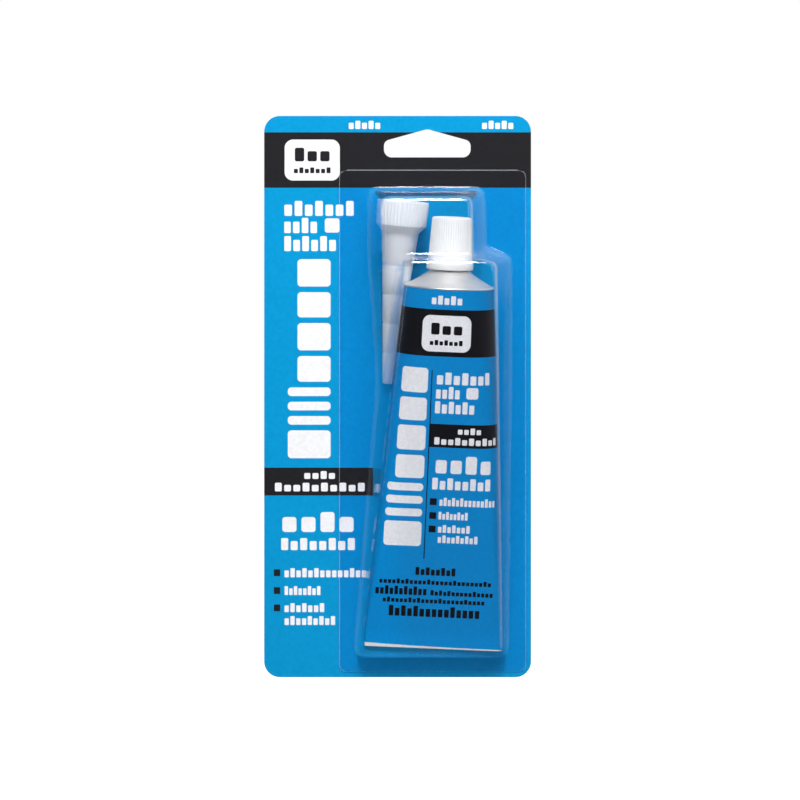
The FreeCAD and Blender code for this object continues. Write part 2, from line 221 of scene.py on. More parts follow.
speck = ramp(ink_group, fine.outputs["Fac"], 0.35, 0.75, 0.985, 1.03)
toned = scaled(ink_group, given["Colour"], maths(ink_group, "MULTIPLY", tone, speck))
ink_group.links.new(toned, result["Colour"])
ink_group.links.new(fine.outputs["Fac"], result["Height"])
ink_group.links.new(ramp(ink_group, fine.outputs["Fac"], 0.3, 0.7, 0.3, 0.4), result["Roughness"])


def print_blocks(tree, place, ground, ink, blocks, rows):
    """Prints blocks (x, z, width, height, corner) and rows (x, z, width, height, cells)."""
    cover = 0.0
    for x, z, width, height, corner in blocks:
        inputs = {"Centre": (x, 0, z), "Half size": (width / 2, 0, height / 2), "Corner": corner}
        mask = use_group(tree, block_group, {"Place": place, **inputs})["Mask"]
        cover = maths(tree, "MAXIMUM", mask, cover)
    for x, z, width, height, cells in rows:
        inputs = {"Centre": (x, 0, z), "Half size": (width / 2, 0, height / 2), "Cells": cells}
        mask = use_group(tree, row_group, {"Place": place, **inputs})["Mask"]
        cover = maths(tree, "MAXIMUM", mask, cover)
    return blend_colour(tree, cover, ground, ink)


def inside_outline(tree, place, outline):
    """Mask of a convex outline of (x, z) corners, anticlockwise as seen from the front."""
    depth = None
    for i, (x, z) in enumerate(outline):
        after_x, after_z = outline[(i + 1) % len(outline)]
        length = math.hypot(after_x - x, after_z - z)
        normal = Vector(((z - after_z) / length, 0, (after_x - x) / length))
        reach = maths(tree, "SUBTRACT", vectors(tree, "DOT_PRODUCT", place, normal),
                      normal.dot((x, 0, z)))
        depth = reach if depth is None else maths(tree, "MINIMUM", depth, reach)
    return ramp(tree, depth, -0.3, 0.3)


def column(bottom, lengths, gap, widths, right):
    """Blocks stacked up a column, flush along its right side."""
    blocks = []
    for length, width in zip(lengths, widths):
        blocks.append((right - width / 2, bottom + length / 2, width, length, 1.4))
        bottom += length + gap
    return blocks


# The tall column of blocks, and the outlines of the bays: inside them the card keeps its own
# blue, and round them, where the flange is sealed to it, the blue is deeper: partly the sealed
# board's own colour, partly painted shade for the light the sheet takes away
COLUMN_LENGTHS = (10.6, 3.3, 3.3, 3.3, 9.8, 10.4, 9.6, 10.4)
COLUMN_WIDTHS = (16.3, 16.3, 16.3, 16.3, 12.6, 12.6, 12.6, 12.6)
HEAD_OUTLINE = [(-21.9, -57.2), (21.9, -57.2), (21.2, -22.8), (-21.9, -22.8)]
BODY_OUTLINE = [(-27.3, -200.1), (30.2, -200.1), (31.4, -48.7), (21.9, -44.7), (-14.2, -44.7)]
SIDE_OUTLINE = [(-18.7, -98.4), (-2.2, -98.4), (-2.2, -39.7), (-21.9, -39.7)]

card_print, tree, shader = new_material("printed board")
coordinates = tree.nodes.new("ShaderNodeTexCoord")
place = scaled(tree, coordinates.outputs["Object"], 1 / MM)
sealed = use_group(
    tree, block_group,
    {"Place": place, "Centre": SEAL_MIDDLE, "Half size": SEAL_HALF_SIZE, "Corner": SEAL_CORNER},
)["Mask"]
pocket = maths(
    tree, "MAXIMUM", inside_outline(tree, place, HEAD_OUTLINE),
    maths(tree, "MAXIMUM", inside_outline(tree, place, BODY_OUTLINE),
          inside_outline(tree, place, SIDE_OUTLINE)),
)
# Painted shade: the sealed ring is also darker for the light the sheet takes away from the card
sealed_and_shaded_ring = maths(tree, "MULTIPLY", sealed, maths(tree, "SUBTRACT", 1.0, pocket))
colour = blend_colour(tree, sealed_and_shaded_ring, CARD_BLUE, SEALED_AND_SHADED_BLUE)
colour = print_blocks(
    tree, place, colour, BLACK_INK,
    [(-11.3, -11.7, 110, 21.1, 0.2), (-42.4, -134.1, 43.4, 10.6, 0.2)]
    + [(-57.2, z, 2.4, 2.6, 0.15) for z in (-168.8, -175.6, -182.2)], [],
)
colour = print_blocks(
    tree, place, colour, WHITE_INK,
    [(-43.8, -11.7, 21.0, 15.6, 3.2), (-36.2, -36.6, 5.6, 5.4, 1.0)]
    + column(-125.2, COLUMN_LENGTHS, 2.15, COLUMN_WIDTHS, -36.8),
    [
        (-23.9, 1.7, 12.6, 3.1, 5), (26.8, 1.7, 12.5, 3.1, 5),
        (-41.2, -30.1, 27.4, 5.7, 7), (-48.2, -36.6, 13.3, 5.8, 4), (-44.6, -43.5, 20.5, 5.7, 6),
        (-41.0, -131.6, 12.5, 3.0, 4), (-40.9, -136.2, 35.1, 3.3, 10),
        (-41.6, -149.5, 29.0, 7.6, 4), (-41.6, -157.9, 29.0, 4.6, 8),
        (-38.8, -168.8, 31.7, 3.5, 14), (-47.5, -175.6, 14.1, 3.4, 8),
        (-46.8, -182.1, 15.7, 3.4, 7), (-44.7, -187.0, 19.8, 3.4, 9),
    ],
)
colour = print_blocks(
    tree, place, colour, BLACK_INK, [],
    [(-43.8, -9.6, 14.5, 5.2, 3), (-43.8, -15.6, 14.5, 2.2, 7)],
)
# Bare board at the cut edges and on the back
depth = add(tree, "ShaderNodeSeparateXYZ", {0: place}).outputs["Y"]
colour = blend_colour(tree, ramp(tree, depth, -0.46, -0.42), colour, BOARD_EDGE)
colour = blend_colour(tree, ramp(tree, depth, -0.06, -0.02), colour, BOARD_WHITE)
ink = use_group(tree, ink_group, {"Place": place, "Colour": colour, "Grain": 3.2})
tree.links.new(ink["Colour"], shader.inputs["Base Color"])
tree.links.new(ink["Roughness"], shader.inputs["Roughness"])
bump = add(tree, "ShaderNodeBump", {"Height": ink["Height"], "Strength": 0.12, "Distance": 0.00005})
tree.links.new(bump.outputs[0], shader.inputs["Normal"])
shader.inputs["Specular IOR Level"].default_value = 0.12
dress(nodes["backing_card"], card_print)


# Tube: soft aluminium, printed in blue before it was filled from its open end, pressed flat
# there and folded. The shoulder and the threaded neck are left bare. It lies pitched off the
# card and leans right, so every piece round it is made upright and then set in its frame.

TUBE_RADIUS = 16.8
TUBE_GIRTH = 2 * math.pi * TUBE_RADIUS
BODY_TOP = 137.7
LIP_HEIGHT = 138.3
SHOULDER_TOP = 144.1
NECK_RADIUS = 6.3
NECK_TOP = 156.7
TAIL_HALF = 0.4
LIP_HALF = 16.7
FOLD_HEIGHT = 5.2
TUBE_BLUE = (0.0, 0.285, 0.7, 1)
TUBE_BLACK = (0.006, 0.006, 0.009, 1)
TUBE_WHITE = (0.98, 0.97, 0.98, 1)
TAIL_WHITE = (0.82, 0.8, 0.76, 1)
TUBE_FOOT = Vector((2.246, -1.693, -197.502))
TUBE_LEAN = math.radians(2.4)
TUBE_PITCH = math.radians(6.5045)
tube_frame = Matrix.Translation(TUBE_FOOT) @ (
    Matrix.Rotation(TUBE_LEAN, 4, "Y") @ Matrix.Rotation(TUBE_PITCH, 4, "X")
)


def edit(piece):
    """Opens a piece for editing with all of its mesh selected."""
    bpy.ops.object.select_all(action="DESELECT")
    bpy.context.view_layer.objects.active = piece
    piece.select_set(True)
    bpy.ops.object.mode_set(mode="EDIT")
    bpy.ops.mesh.select_all(action="SELECT")


def edit_mode(piece):
    """Opens a piece for editing with the faces, edges and points that are selected in it."""
    bpy.context.view_layer.objects.active = piece
    bpy.ops.object.mode_set(mode="EDIT")


def done():
    bpy.ops.object.mode_set(mode="OBJECT")
    bpy.ops.object.select_all(action="DESELECT")


def turned(name, outline, sides):
    """A closed piece turned about Z: a circle, extruded from ring to ring along an outline."""
    radius, height = outline[0]
    bpy.ops.mesh.primitive_circle_add(vertices=sides, radius=radius, location=(0, 0, 0))
    piece = bpy.context.object
    piece.name = name
    edit(piece)
    bpy.ops.transform.translate(value=(0, 0, height))
    bpy.ops.mesh.edge_face_add()
    bpy.ops.mesh.select_all(action="SELECT")
    for next_radius, next_height in outline[1:]:
        bpy.ops.mesh.extrude_region_move()
        bpy.ops.transform.translate(value=(0, 0, next_height - height))
        factor = next_radius / radius
        bpy.ops.transform.resize(value=(factor, factor, 1), center_override=(0, 0, next_height))
        radius, height = next_radius, next_height
    bpy.ops.mesh.select_all(action="SELECT")
    bpy.ops.mesh.normals_make_consistent(inside=False)
    done()
    return piece


def set_in(piece, place):
    """Puts an upright piece, made in millimetres, in its place, with the place in its mesh."""
    piece.data.transform(place @ piece.matrix_basis)
    piece.matrix_basis = Matrix.Identity(4)
    piece.data.transform(Matrix.Scale(MM, 4))


def smooth(piece, degrees):
    """Shades a piece smooth, but for edges sharper than the angle."""
    bpy.ops.object.select_all(action="DESELECT")
    bpy.context.view_layer.objects.active = piece
    piece.select_set(True)
    bpy.ops.object.shade_smooth_by_angle(angle=math.radians(degrees))
    bpy.ops.object.select_all(action="DESELECT")


def pressed(turn, height):
    """A point of the tube's wall, by its turn from the middle of the back and its height."""
    share = min(max((height - FOLD_HEIGHT) / (BODY_TOP - FOLD_HEIGHT), 0), 1)
    half = TAIL_HALF + (LIP_HALF - TAIL_HALF) * share
    straight = math.pi * (TUBE_RADIUS - half) / 2
    arc = math.pi * half
    run = abs(turn) * TUBE_GIRTH
    side = math.copysign(1, turn)
    if run < straight:
        return Vector((side * run, half, height)), half
    if run < straight + arc:
        angle = (run - straight) / half
        x = straight + half * math.sin(angle)
        return Vector((side * x, half * math.cos(angle), height)), half
    return Vector((side * (2 * straight + arc - run), -half, height)), half


# The body: a flat grid with the wrap's own UV map, rolled round and pressed flat towards the
# tail, with a few shallow dents where the full tube has been handled
ACROSS, UP = 160, 84
bpy.ops.mesh.primitive_grid_add(x_subdivisions=ACROSS, y_subdivisions=UP, size=1, calc_uvs=True)
tube = bpy.context.object
tube.name = "tube_body"
uv = tube.data.uv_layers.active
uv.name = "wrap"
for vertex in tube.data.vertices:
    turn, height = vertex.co.x, (vertex.co.y + 0.5) * BODY_TOP
    spot, half = pressed(turn, height)
    dent = noise.noise(Vector((spot.x * 0.05, spot.y * 0.03, spot.z * 0.035 + 7)))
    dent += 0.5 * noise.noise(Vector((spot.x * 0.12, spot.y * 0.1 + 3, spot.z * 0.09)))
    depth = 0.32 * max(dent, 0) * min(1, height / 20) * min(1, (BODY_TOP - height) / 12)
    outward = Vector((spot.x / (TUBE_RADIUS + 10 - half / 2), spot.y / max(half, 1), 0))
    if outward.length > 0:
        spot -= outward.normalized() * depth
    vertex.co = spot
edit(tube)
bpy.ops.mesh.remove_doubles(threshold=0.0005)
bpy.ops.mesh.normals_make_consistent(inside=False)
done()

head = turned(
    "tube_head",
    [
        (16.5, BODY_TOP - 0.5), (16.72, BODY_TOP - 0.12), (16.8, BODY_TOP + 0.12),
        (16.8, LIP_HEIGHT - 0.2), (16.66, LIP_HEIGHT), (16.3, LIP_HEIGHT + 0.08),
        (15.6, LIP_HEIGHT + 0.4), (13.4, LIP_HEIGHT + 1.62), (11.0, LIP_HEIGHT + 3.05),
        (8.6, LIP_HEIGHT + 4.7), (7.7, LIP_HEIGHT + 5.45), (7.4, SHOULDER_TOP - 0.08),
        (7.1, SHOULDER_TOP), (NECK_RADIUS - 0.2, SHOULDER_TOP), (NECK_RADIUS - 0.2, NECK_TOP - 0.5),
        (NECK_RADIUS - 0.6, NECK_TOP), (4.6, NECK_TOP), (4.4, NECK_TOP - 0.2),
        (4.4, NECK_TOP - 1.2), (0.1, NECK_TOP - 1.3),
    ],
    128,
)

# The neck's thread: a low ridge wound round it, inside the cap's free bore
THREAD_PITCH = 2.5
THREAD_TURNS = 3.6
bpy.ops.mesh.primitive_circle_add(vertices=3, radius=0.42, location=(0, 0, 0))
thread = bpy.context.object
thread.name = "neck_thread"
edit(thread)
bpy.ops.transform.rotate(value=math.radians(90), orient_axis="X", center_override=(0, 0, 0))
bpy.ops.transform.resize(value=(0.9, 1, 1.3), center_override=(0, 0, 0))
bpy.ops.transform.translate(value=(NECK_RADIUS - 0.28, 0, SHOULDER_TOP + 1.6))
done()
winding = thread.modifiers.new("winding", "SCREW")
winding.axis = "Z"
winding.angle = 2 * math.pi * THREAD_TURNS
winding.screw_offset = THREAD_PITCH * THREAD_TURNS
winding.steps = winding.render_steps = 150
winding.use_normal_calculate = True
bpy.context.view_layer.objects.active = thread
bpy.ops.object.modifier_apply(modifier=winding.name)
edit(thread)
bpy.ops.mesh.select_all(action="DESELECT")
bpy.ops.mesh.select_non_manifold()
bpy.ops.mesh.edge_face_add()
bpy.ops.mesh.select_all(action="SELECT")
bpy.ops.mesh.normals_make_consistent(inside=False)
done()

# The tail is turned over once at the back and pressed down
bpy.ops.mesh.primitive_cube_add(size=1, location=(0, 0, 0))
fold = bpy.context.object
fold.name = "tail_fold"
fold.scale = (51.2, 0.72, FOLD_HEIGHT - 0.1)
fold.location = (0, TAIL_HALF + 0.34, FOLD_HEIGHT / 2)
bpy.ops.object.transform_apply(location=True, rotation=False, scale=True)
edit(fold)
bpy.ops.mesh.bevel(offset=0.3, segments=3, affect="EDGES")
done()

# The print, placed in millimetres round the tube from the middle of its front and up from its
# tail. Below its slanting lower end the tail is bare white
tube_print, tree, shader = new_material("printed aluminium")
wrap = add(tree, "ShaderNodeUVMap", uv_map="wrap").outputs[0]
flat = add(tree, "ShaderNodeSeparateXYZ", {0: wrap}).outputs
around = maths(tree, "FRACT", maths(tree, "MULTIPLY", flat["X"], -1))
around = maths(tree, "MULTIPLY", around, TUBE_GIRTH)
far_half = maths(tree, "GREATER_THAN", around, TUBE_GIRTH / 2)
around = maths(tree, "SUBTRACT", around, maths(tree, "MULTIPLY", far_half, TUBE_GIRTH))
up_tube = maths(tree, "MULTIPLY", flat["Y"], BODY_TOP)
place = add(tree, "ShaderNodeCombineXYZ", {"X": around, "Z": up_tube}).outputs[0]
colour = print_blocks(
    tree, place, TUBE_BLUE, TUBE_BLACK,
    [(0, 121.6, 120, 17.6, 0.2), (9.8, 82.8, 29.6, 8.9, 0.2), (-5.1, 71.3, 0.38, 72.6, 0.15)]
    + [(-2.5, z, 2.6, 2.6, 0.15) for z in (57.4, 52.0, 46.8)],
    [
        (-0.5, 30.2, 15.6, 3.1, 8), (-0.4, 26.0, 42.7, 2.0, 26), (-13.2, 22.4, 19.8, 3.4, 11),
        (9.8, 21.9, 24.0, 2.1, 15), (-0.7, 18.7, 39.0, 2.0, 24), (-0.3, 14.4, 35.0, 4.2, 15),
    ],
)
colour = print_blocks(
    tree, place, colour, TUBE_WHITE,
    [(-0.4, 121.4, 18.4, 13.6, 3.0), (10.3, 99.2, 4.6, 4.3, 0.9)]
    + column(39.9, [0.902 * length for length in COLUMN_LENGTHS], 1.95,
             [0.87 * width for width in COLUMN_WIDTHS], -6.5),
    [
        (-0.8, 133.9, 12.0, 3.3, 5), (7.3, 104.6, 21.8, 4.6, 7), (1.1, 99.2, 9.4, 4.6, 4),
        (3.9, 93.6, 15.3, 4.6, 6), (9.9, 84.8, 9.4, 2.5, 4), (9.5, 80.8, 26.0, 2.8, 10),
        (8.3, 71.8, 22.5, 6.8, 4), (7.8, 64.4, 22.8, 4.5, 8), (10.5, 57.5, 21.7, 3.2, 14),
        (5.2, 52.1, 11.3, 3.0, 8), (5.7, 47.0, 12.4, 3.0, 7), (7.3, 43.0, 15.4, 3.0, 9),
    ],
)
colour = print_blocks(
    tree, place, colour, TUBE_BLACK, [],
    [(-0.4, 123.2, 12.6, 4.4, 3), (-0.4, 118.0, 12.6, 2.0, 7)],
)
strip = maths(tree, "MULTIPLY_ADD", around, 0.0004, -0.018)
strip = maths(tree, "MULTIPLY_ADD", strip, around, 0.68)
tail = ramp(tree, maths(tree, "SUBTRACT", up_tube, strip), -0.05, 0.1, 1.0, 0.0)
colour = blend_colour(tree, tail, colour, TAIL_WHITE)
ink = use_group(tree, ink_group, {"Place": place, "Colour": colour, "Grain": 1.4, "Tone": 0.05})
tree.links.new(ink["Colour"], shader.inputs["Base Color"])
tree.links.new(ink["Roughness"], shader.inputs["Roughness"])
bump = add(tree, "ShaderNodeBump", {"Height": ink["Height"], "Strength": 0.08, "Distance": 0.0001})
tree.links.new(bump.outputs[0], shader.inputs["Normal"])
shader.inputs["Specular IOR Level"].default_value = 0.06

# Bare drawn aluminium: fine rings from the turning tool, a soft sheen and slow stains
bare_aluminium, tree, shader = new_material("bare aluminium")
coordinates = tree.nodes.new("ShaderNodeTexCoord")
place = scaled(tree, coordinates.outputs["Object"], 1 / MM)
upright = add(
    tree, "ShaderNodeMapping", {"Vector": place, "Location": -TUBE_FOOT}
).outputs[0]
upright = add(
    tree, "ShaderNodeVectorRotate",
    {"Vector": upright, "Rotation": (-TUBE_PITCH, -TUBE_LEAN, 0)}, rotation_type="EULER_XYZ",
).outputs[0]
weighted = vectors(tree, "MULTIPLY", upright, (0.12, 0.12, 6))
rings = add(tree, "ShaderNodeTexNoise", {"Vector": weighted, "Scale": 1.0, "Detail": 4})
stains = add(tree, "ShaderNodeTexNoise", {"Vector": place, "Scale": 0.16, "Detail": 3})
tree.links.new(
    blend_colour(tree, stains.outputs["Fac"], (0.74, 0.73, 0.71, 1), (0.86, 0.85, 0.84, 1)),
    shader.inputs["Base Color"],
)
tree.links.new(ramp(tree, rings.outputs["Fac"], 0.3, 0.7, 0.36, 0.5), shader.inputs["Roughness"])
bump = add(
    tree, "ShaderNodeBump",
    {"Height": rings.outputs["Fac"], "Strength": 0.25, "Distance": 0.00004},
)
tree.links.new(bump.outputs[0], shader.inputs["Normal"])
shader.inputs["Metallic"].default_value = 0.8

dress(tube, tube_print, bare_aluminium)
for part in (head, thread, fold):
    part.data.materials.append(tube_print)
    part.data.materials.append(bare_aluminium)
    for face in part.data.polygons:
        face.material_index = 1
    part.select_set(True)
tube.select_set(True)
bpy.context.view_layer.objects.active = tube
bpy.ops.object.join()
set_in(tube, tube_frame)
smooth(tube, 32)
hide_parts("tube")
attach(tube, "pack")


# Screw cap: white moulded polypropylene, screwed on the neck. It has fine flutes for grip, a
# plain band below them and a wider collar at the foot, and is bored for the neck and cored.

CAP_FOOT = 144.4
CAP_TOP = 163.9
CAP_FLUTES = 52
CAP_WHITE = (0.96, 0.96, 0.95, 1)

cap = turned(
    "cap",
    [
        (0.1, CAP_TOP - 1.5), (4.2, CAP_TOP - 1.5), (4.4, CAP_TOP - 1.7), (4.4, 157.5),
        (6.6, 157.5), (6.6, CAP_FOOT + 0.3), (6.85, CAP_FOOT), (8.45, CAP_FOOT),
        (8.68, CAP_FOOT + 0.1), (8.75, CAP_FOOT + 0.3), (8.75, CAP_FOOT + 2.3),
        (8.66, CAP_FOOT + 2.55), (8.42, CAP_FOOT + 2.68), (8.33, CAP_FOOT + 2.8),
        (8.28, CAP_FOOT + 3.2), (8.22, CAP_FOOT + 4.7), (8.19, CAP_FOOT + 4.95),
        (8.17, CAP_FOOT + 5.3), (7.42, CAP_TOP - 1.1), (7.4, CAP_TOP - 0.8),
        (7.28, CAP_TOP - 0.4), (7.0, CAP_TOP - 0.12), (6.5, CAP_TOP), (6.1, CAP_TOP - 0.02),
        (5.9, CAP_TOP - 0.12), (0.1, CAP_TOP - 0.12),
    ],
    CAP_FLUTES * 6,
)


def flute(piece, flutes, low, high, depth, inner):
    """Sinks flutes in a turned wall between two heights, outside an inner radius."""
    for vertex in piece.data.vertices:
        radius = math.hypot(vertex.co.x, vertex.co.y)
        if low < vertex.co.z < high and radius > inner:
            turn = math.atan2(vertex.co.y, vertex.co.x)
            sunk = depth * (0.5 - 0.5 * math.cos(flutes * turn))
            vertex.co.x *= 1 - sunk / radius
            vertex.co.y *= 1 - sunk / radius


flute(cap, CAP_FLUTES, CAP_FOOT + 5.1, CAP_TOP - 0.7, 0.18, 7)
set_in(cap, tube_frame)
smooth(cap, 40)

# Moulded plastic: a hardly seen orange peel, and slow changes of gloss and shade
mould_group, given, result = new_group(
    "moulded skin",
    [("Place", "Vector", None), ("Colour", "Color", None), ("Shade", "Float", 0.05)],
    [("Colour", "Color"), ("Height", "Float"), ("Roughness", "Float")],
)
peel = add(
    mould_group, "ShaderNodeTexNoise", {"Vector": given["Place"], "Scale": 2.2, "Detail": 3}
)
slow = add(
    mould_group, "ShaderNodeTexNoise", {"Vector": given["Place"], "Scale": 0.11, "Detail": 2}
)
tone = maths(mould_group, "SUBTRACT", slow.outputs["Fac"], 0.5)
tone = maths(mould_group, "MULTIPLY_ADD", tone, given["Shade"], 1.0)
mould_group.links.new(scaled(mould_group, given["Colour"], tone), result["Colour"])
mould_group.links.new(peel.outputs["Fac"], result["Height"])
roughness = ramp(mould_group, slow.outputs["Fac"], 0.3, 0.7, 0.34, 0.46)
mould_group.links.new(roughness, result["Roughness"])


def moulded(name, colour, shade, strength):
    """A material of moulded plastic, with its tree and shader to add to."""
    material, tree, shader = new_material(name)
    coordinates = tree.nodes.new("ShaderNodeTexCoord")
    place = scaled(tree, coordinates.outputs["Object"], 1 / MM)
    skin = use_group(tree, mould_group, {"Place": place, "Colour": colour, "Shade": shade})
    tree.links.new(skin["Colour"], shader.inputs["Base Color"])
    tree.links.new(skin["Roughness"], shader.inputs["Roughness"])
    bump = add(tree, "ShaderNodeBump", {"Height": skin["Height"], "Strength": strength,
                                        "Distance": 0.00005})
    tree.links.new(bump.outputs[0], shader.inputs["Normal"])
    return material, tree, shader, place


white_cap, tree, shader, place = moulded("white polypropylene", CAP_WHITE, 0.03, 0.1)
shader.inputs["Subsurface Weight"].default_value = 0.15
shader.inputs["Subsurface Radius"].default_value = (0.0012, 0.0012, 0.0012)
dress(cap, white_cap)
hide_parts("screw_cap")
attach(cap, "cap")


# Cap liner: a disc of white polyethylene foam, pressed into the cap, which seals the neck's
# mouth. It only shows when the cap is off.

liner = turned(
    "liner",
    [
        (0.1, NECK_TOP), (6.2, NECK_TOP), (6.4, NECK_TOP + 0.1), (6.45, NECK_TOP + 0.3),
        (6.45, NECK_TOP + 0.55), (6.38, NECK_TOP + 0.72), (6.2, NECK_TOP + 0.8),
        (5.6, NECK_TOP + 0.8), (5.4, NECK_TOP + 0.74), (0.1, NECK_TOP + 0.74),
    ],
    72,
)
set_in(liner, tube_frame)
smooth(liner, 35)
liner_foam, tree, shader, place = moulded("liner foam", (0.8, 0.8, 0.78, 1), 0.04, 0.1)
pores = add(tree, "ShaderNodeTexVoronoi", {"Vector": place, "Scale": 4.0})
bump = add(
    tree, "ShaderNodeBump",
    {"Height": pores.outputs["Distance"], "Strength": 0.5, "Distance": 0.0001},
)
tree.links.new(bump.outputs[0], shader.inputs["Normal"])
dress(liner, liner_foam)
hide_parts("cap_liner")
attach(liner, "liner")


# Nozzle: milky polyethylene, moulded hollow with a closed tip, loose in the pack with its tip
# down. Its base is fluted and takes the neck's thread. Four rings round the cone show where it
# can be cut.

NOZZLE_LENGTH = 69.5
NOZZLE_CONE = 57.8
NOZZLE_BASE = 60.4
NOZZLE_SOCKET = 59.9
NOZZLE_FLUTES = 44
nozzle_frame = Matrix.Translation((-15.250, -2.415, -96.812)) @ (
    Matrix.Rotation(math.radians(5.1), 4, "Y") @ Matrix.Rotation(math.radians(7.3117), 4, "X")
)


def cone_radius(height):
    """The cone's outer radius at a height over its tip."""
    return 1.8 + 5.1 * height / NOZZLE_CONE


outline = [(0.1, 1.0), (0.8, 1.0), (5.75, NOZZLE_SOCKET), (6.6, NOZZLE_SOCKET)]
outline += [(6.6, NOZZLE_LENGTH - 0.5), (6.9, NOZZLE_LENGTH), (9.5, NOZZLE_LENGTH)]
outline += [(9.72, NOZZLE_LENGTH - 0.12), (9.79, NOZZLE_LENGTH - 0.4), (9.56, NOZZLE_BASE + 0.5)]
outline += [(9.4, NOZZLE_BASE + 0.1), (9.2, NOZZLE_BASE - 0.1), (7.2, NOZZLE_CONE + 0.3)]
outline += [(6.95, NOZZLE_CONE), (6.85, NOZZLE_CONE - 0.6)]
for ring_height in (45.3, 34.2, 23.1, 12.0):
    for step, sunk in ((0.55, 0), (0.15, 0.16), (-0.15, 0.16), (-0.55, 0)):
        outline.append((cone_radius(ring_height + step) - sunk, ring_height + step))
outline += [(1.86, 0.7), (1.75, 0.2), (1.5, 0.0), (0.1, 0.0)]
nozzle = turned("nozzle_moulding", outline, NOZZLE_FLUTES * 4)
flute(nozzle, NOZZLE_FLUTES, NOZZLE_BASE + 0.2, NOZZLE_LENGTH + 0.1, 0.24, 9)
set_in(nozzle, nozzle_frame)
smooth(nozzle, 35)

# Milky plastic lets more of what is behind it through where the wall is thin, towards the tip
milky, tree, shader, place = moulded("milky polyethylene", (0.9, 0.935, 1.0, 1), 0.05, 0.12)
nozzle_axis = nozzle_frame.to_3x3() @ Vector((0, 0, 1))
upward = vectors(tree, "DOT_PRODUCT", place, nozzle_axis)
upward = maths(tree, "SUBTRACT", upward, nozzle_axis.dot(nozzle_frame.translation))
dense = ramp(tree, upward, NOZZLE_SOCKET - 1, NOZZLE_SOCKET + 2, 0.0, 0.17)
dense = maths(tree, "ADD", dense, ramp(tree, upward, 0, NOZZLE_CONE, 0.5, 0.79))
tree.links.new(dense, shader.inputs["Alpha"])
shader.inputs["Subsurface Weight"].default_value = 0.3
shader.inputs["Subsurface Radius"].default_value = (0.002, 0.002, 0.0024)
dress(nozzle, milky)
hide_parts("nozzle")
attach(nozzle, "pack")


# Blister: clear polyester sheet, heated and drawn over a mould into three bays, then sealed to
# the card by its flange. Its edges are soft, as drawn sheet's are, and its cut edge is frosted.

FILM_THICKNESS = 0.4 * MM
CARD_FRONT = -0.5 * MM
FLANGE_FRONT = -0.95 * MM
VOXEL = 0.8 * MM
UNCUT_HALF_SIZE = (35.35, 0, 95.3)
UNCUT_CORNER = 2.6

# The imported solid's outer skin is made even, softened, cut off behind the flange's front and
# given the sheet's thickness inwards
film = nodes["blister"].copy()
film.data = nodes["blister"].data.copy()
film.name = "formed_sheet"
bpy.context.collection.objects.link(film)
edit(film)
bpy.ops.mesh.customdata_custom_splitnormals_clear()
bpy.ops.mesh.remove_doubles(threshold=0.000002)
bpy.ops.mesh.select_all(action="DESELECT")
done()
for face in film.data.polygons:
    face.select = face.center.y > CARD_FRONT - 0.00001
edit_mode(film)
bpy.ops.mesh.delete(type="FACE")
bpy.ops.mesh.select_all(action="DESELECT")
done()
foremost = min(film.data.vertices, key=lambda vertex: vertex.co.y)
foremost.select = True
edit_mode(film)
bpy.ops.mesh.select_linked()
bpy.ops.mesh.select_all(action="INVERT")
bpy.ops.mesh.delete(type="VERT")
bpy.ops.mesh.select_non_manifold()
bpy.ops.mesh.edge_face_add()
bpy.ops.mesh.extrude_region_move(TRANSFORM_OT_translate={"value": (0, 4 * MM, 0)})
bpy.ops.mesh.select_all(action="SELECT")
bpy.ops.mesh.normals_make_consistent(inside=False)
done()
bpy.context.view_layer.objects.active = film
remesh = film.modifiers.new("even skin", "REMESH")
remesh.mode = "VOXEL"
remesh.voxel_size = VOXEL
bpy.ops.object.modifier_apply(modifier=remesh.name)
drawn = film.modifiers.new("drawn soft", "SMOOTH")
drawn.factor = 0.5
drawn.iterations = 8
bpy.ops.object.modifier_apply(modifier=drawn.name)
for face in film.data.polygons:
    face.select = face.center.y > FLANGE_FRONT + 0.25 * MM
edit_mode(film)
bpy.ops.mesh.delete(type="FACE")
done()
bpy.context.view_layer.objects.active = film
wall = film.modifiers.new("sheet", "SOLIDIFY")
wall.thickness = FILM_THICKNESS
wall.offset = -1
bpy.ops.object.modifier_apply(modifier=wall.name)
smooth(film, 70)

# The finish of the sheet: clear, with a few slow waves
clear_sheet, tree, shader = new_material("clear polyester")
tree.nodes.remove(shader)
coordinates = tree.nodes.new("ShaderNodeTexCoord")
place = scaled(tree, coordinates.outputs["Object"], 1 / MM)
at = add(tree, "ShaderNodeSeparateXYZ", {0: place}).outputs
waves = add(tree, "ShaderNodeTexNoise", {"Vector": place, "Scale": 0.06, "Detail": 2})
bump = add(
    tree, "ShaderNodeBump", {"Height": waves.outputs["Fac"], "Strength": 0.2, "Distance": 0.0003}
)

# Gloss: strong where it is seen edge on, weaker near the card and on the left walls, and none
# on the cut edge
facing = add(tree, "ShaderNodeLayerWeight", {"Blend": 0.5, "Normal": bump.outputs[0]})
gloss = maths(tree, "POWER", facing.outputs["Facing"], 3.6)
gloss = maths(tree, "MULTIPLY_ADD", gloss, 0.88, 0.04)
gloss = maths(tree, "MULTIPLY", gloss, ramp(tree, at["Y"], -5.0, -1.6, 1.0, 0.3))
left_walls = ramp(tree, at["X"], -13, -7, 0.45, 1.0)
left_walls = maths(tree, "MAXIMUM", left_walls, ramp(tree, at["Z"], -52, -46))
gloss = maths(tree, "MULTIPLY", gloss, left_walls)
uncut = use_group(
    tree, block_group,
    {"Place": place, "Centre": SEAL_MIDDLE, "Half size": UNCUT_HALF_SIZE, "Corner": UNCUT_CORNER},
)["Mask"]
gloss = maths(tree, "MULTIPLY", gloss, uncut)
